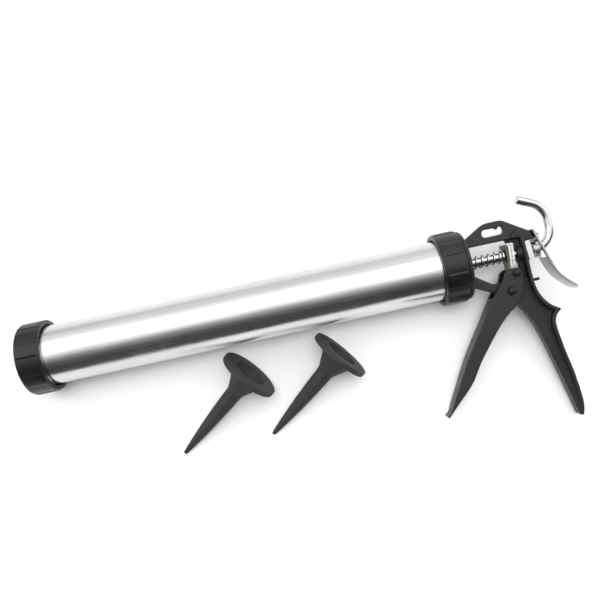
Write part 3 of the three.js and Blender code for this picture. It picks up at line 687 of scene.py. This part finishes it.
def stop_pin():
    """A short peg that points back from the column."""
    low, high = gun_box("stop_pin")
    r = (high.y - low.y) / 2
    profile = [(low.x, 0), (low.x, r, 0.4), (high.x, r, 0.9), (high.x, 0)]
    place = GUN @ Matrix.Translation((0, 0, (low.z + high.z) / 2))
    return dress(lathed("stop_pin_fine", profile, 32, place), "stop_pin")


# ---- Springs ---------------------------------------------------------------------------------


def coil(start, length, radius, turns, dead_turns=0, dead_pitch=0, lean=0):
    """Points of a coil round the rod from start; its last dead turns lie a dead pitch apart."""
    points = []
    steps = round(turns * 28)
    live_turns = turns - dead_turns
    pitch = (length - dead_pitch * dead_turns) / live_turns
    for i in range(steps + 1):
        turn = turns * i / steps
        live = min(turn, live_turns)
        along = live * pitch + (turn - live) * dead_pitch
        angle = 2 * math.pi * turn
        z = radius * math.cos(angle)
        points.append(Vector((start + along - lean * z, radius * math.sin(angle), z)))
    return points


def springs():
    """The coil that returns the grip plates, and the small one under the release lever."""
    low, high = gun_box("return_spring")
    wire = RETURN_WIRE
    reach = high.x - low.x
    path = coil(low.x + wire, reach - 2 * wire, high.z - wire, RETURN_TURNS,
                RETURN_DEAD_TURNS, 2 * wire + DEAD_GAP)
    made = dress(swept("return_spring_fine", path, wire, 12, 0.2), "return_spring")
    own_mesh(made)
    low, high = gun_box("release_spring")
    wire = RELEASE_WIRE
    radius = high.z - wire
    start = low.x + wire + RELEASE_LEAN * radius
    path = coil(start, RELEASE_LENGTH, radius, RELEASE_TURNS, lean=RELEASE_LEAN)
    made = dress(swept("release_spring_fine", path, wire, 12, 0.1), "release_spring")
    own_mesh(made)


# ---- Nozzles ---------------------------------------------------------------------------------


def nozzle_place(node):
    """Matrix that puts X along a nozzle from its back face, which its seat in the record faces."""
    seats = {mount["name"]: mount for mount in frame["record"]["mounts"]}
    along = -Vector(seats[node + "_seat"]["axis"]).normalized()
    points = [v.co for v in frame["nodes"][node].data.vertices]
    back = min(p.dot(along) for p in points)
    rim = [p for p in points if p.dot(along) < back + 1e-5]
    centre = sum(rim, Vector()) / len(rim)
    side = Vector((0, 0, 1)).cross(along).normalized()
    turn = Matrix((along, side, along.cross(side))).transposed().to_4x4()
    return Matrix.Translation(centre) @ turn @ Matrix.Scale(MM, 4)


def nozzle(node):
    """A flange, a short cone and a long spout that tapers to a bored tip."""
    place = nozzle_place(node)
    back = place.inverted()
    points = [back @ v.co for v in frame["nodes"][node].data.vertices]
    length = max(p.x for p in points)
    flange = max(math.hypot(p.y, p.z) for p in points)
    cone_end = FLANGE + CONE_LENGTH
    outside = [(cone_end, SPOUT_RADIUS, 3)]
    for i in range(1, 12):
        t = i / 12
        swell = SPOUT_BULGE * 4 * t * (1 - t)
        straight = SPOUT_RADIUS + (TIP_RADIUS - SPOUT_RADIUS) * t
        outside.append((cone_end + (length - cone_end) * t, straight + swell))
    profile = [
        (0, CONE_RADIUS - NOZZLE_WALL, 0.5), (0, flange, 0.35), (FLANGE, flange, 0.35),
        (FLANGE, CONE_RADIUS, 0.8), *outside, (length, TIP_RADIUS, 0.5), (length, TIP_BORE, 0.2),
        (cone_end + 2, SPOUT_RADIUS - NOZZLE_WALL, 2), (FLANGE, CONE_RADIUS - NOZZLE_WALL, 1),
    ]
    made = dress(lathed(node + "_fine", profile, 128, place), node)
    made.visible_glossy = False  # a loose nozzle would show as a dark blot in the polished tube
    return made


def pieces():
    """Everything that stands for a CAD node."""
    barrel_tube()
    front_cap()
    rear_cap()
    rod()
    piston()
    for node, settings in SOFT_NODES.items():
        softened(node, *settings)
    for node, width in BEVELS.items():
        bevelled(node, width)
    for node in PIN_RADIUS:
        rivet(node)
    roller()
    stop_pin()
    springs()
    nozzle("nozzle_1")
    nozzle("nozzle_2")


def coat_cad_nodes():
    """Gives the CAD nodes themselves the same materials; the frame's screws show as they are."""
    for name, node in frame["nodes"].items():
        node.data.materials.clear()
        node.data.materials.append(MATERIALS[SLOT_OF[name]])


pieces()
coat_cad_nodes()

# ---- Studio ----------------------------------------------------------------------------------

LAMP_WATTS = 10
LAMP_WIDTH = 0.9
LAMP_HEIGHT = 1.7
FLOOR_HALF = 12

# Light that comes from each side: degrees from straight up towards the arch side, and strength
SIDE_LIGHT = [
    (-90, 0.06), (-75, 0.05), (-60, 0.06), (-45, 0.09), (-32, 0.2), (-22, 0.45), (-14, 0.95),
    (-6, 1.6), (8, 2.1), (36, 2.1), (46, 1.3), (58, 1.05), (90, 0.85),
]
DARK_PATCH = (78, 16, 0.55)  # middle and half width in degrees, and how much it takes, over the nose
PATCH_FADE = (-0.45, -0.2)  # along the barrel: X of a direction where the patch is full, and gone

# The camera, in the gun's frame: millimetres, and degrees that the barrel climbs in the picture
VIEW_DISTANCE = 549.2
VIEW_X = -147
VIEW_Z = 0.81
VIEW_CLIMB = 12.3
LENS = 35.34
SENSOR = 36


def studio_world():
    """Soft light from all round: bright overhead on the arch side, dark low on the trigger side."""
    world = bpy.data.worlds.new("studio")
    bpy.context.scene.world = world
    world.use_nodes = True
    n = Nodes(world.node_tree)
    back = world.node_tree.nodes["Background"]
    direction = n.add("ShaderNodeSeparateXYZ")
    n.link(n.add("ShaderNodeTexCoord").outputs["Generated"], direction.inputs["Vector"])
    x, y, z = (direction.outputs[axis] for axis in "XYZ")
    side = n.math("ARCTAN2", y, z)
    ramp = n.add("ShaderNodeValToRGB")
    ramp.color_ramp.interpolation = "EASE"
    n.link(n.spread(side, 0, 1, -math.pi, math.pi), ramp.inputs["Fac"])
    peak = max(light for _, light in SIDE_LIGHT)
    stops = ramp.color_ramp.elements
    while len(stops) < len(SIDE_LIGHT):
        stops.new(0.5)
    for stop, (angle, light) in zip(stops, SIDE_LIGHT):
        stop.position = angle / 360 + 0.5
        stop.color = (light / peak, light / peak, light / peak, 1)
    middle, half, taken = DARK_PATCH
    apart = n.math("ABSOLUTE", n.math("SUBTRACT", side, math.radians(middle)), 0)
    patch = n.math("MULTIPLY", n.spread(apart, taken, 0, 0, math.radians(half)),
                   n.spread(x, 1, 0, *PATCH_FADE))
    left = n.math("SUBTRACT", 1, patch)
    n.link(ramp.outputs["Color"], back.inputs["Color"])
    n.link(n.math("MULTIPLY", left, peak), back.inputs["Strength"])


def overhead():
    """A wide lamp straight above, which keeps the shadows short and isn't mirrored in the tube."""
    lamp = bpy.data.lights.new("overhead", "AREA")
    lamp.shape = "DISK"
    lamp.size = LAMP_WIDTH
    lamp.energy = LAMP_WATTS
    made = bpy.data.objects.new("overhead", lamp)
    bpy.context.scene.collection.objects.link(made)
    made.location = (0, 0, LAMP_HEIGHT)
    made.visible_glossy = False
    made.visible_camera = False


def floor():
    """A plain pale floor, which isn't part of the object."""
    size = FLOOR_HALF
    mesh = bpy.data.meshes.new("floor")
    corners = [(-size, -size, 0), (size, -size, 0), (size, size, 0), (-size, size, 0)]
    mesh.from_pydata(corners, [], [(0, 1, 2, 3)])
    made = bpy.data.objects.new("floor", mesh)
    bpy.context.scene.collection.objects.link(made)
    paint, n, principled = shader("floor_white", 0.0, Specular_IOR_Level=0.1)
    principled.inputs["Roughness"].default_value = 0.9
    grain = n.spread(n.noise((3, 3, 3), 3), 0, 1)
    n.link(n.blend(grain, (0.88, 0.88, 0.88), (0.9, 0.9, 0.9)), principled.inputs["Base Color"])
    made.data.materials.append(paint)


def camera():
    """Looks straight at the gun's side near its mid-length, turned so that the barrel climbs."""
    climb = math.radians(VIEW_CLIMB)
    data = bpy.data.cameras.new("camera")
    data.sensor_width = SENSOR
    data.lens = LENS
    made = bpy.data.objects.new("camera", data)
    bpy.context.scene.collection.objects.link(made)
    right = Vector((math.cos(climb), 0, -math.sin(climb)))
    up = Vector((math.sin(climb), 0, math.cos(climb)))
    turn = Matrix((right, up, right.cross(up))).transposed().to_4x4()
    place = GUN @ Matrix.Translation((VIEW_X, -VIEW_DISTANCE, VIEW_Z)) @ turn
    made.matrix_world = Matrix.LocRotScale(place.to_translation(), place.to_quaternion(), None)
    bpy.context.scene.camera = made


bpy.context.scene.view_settings.view_transform = "Standard"
studio_world()
overhead()
floor()
camera()
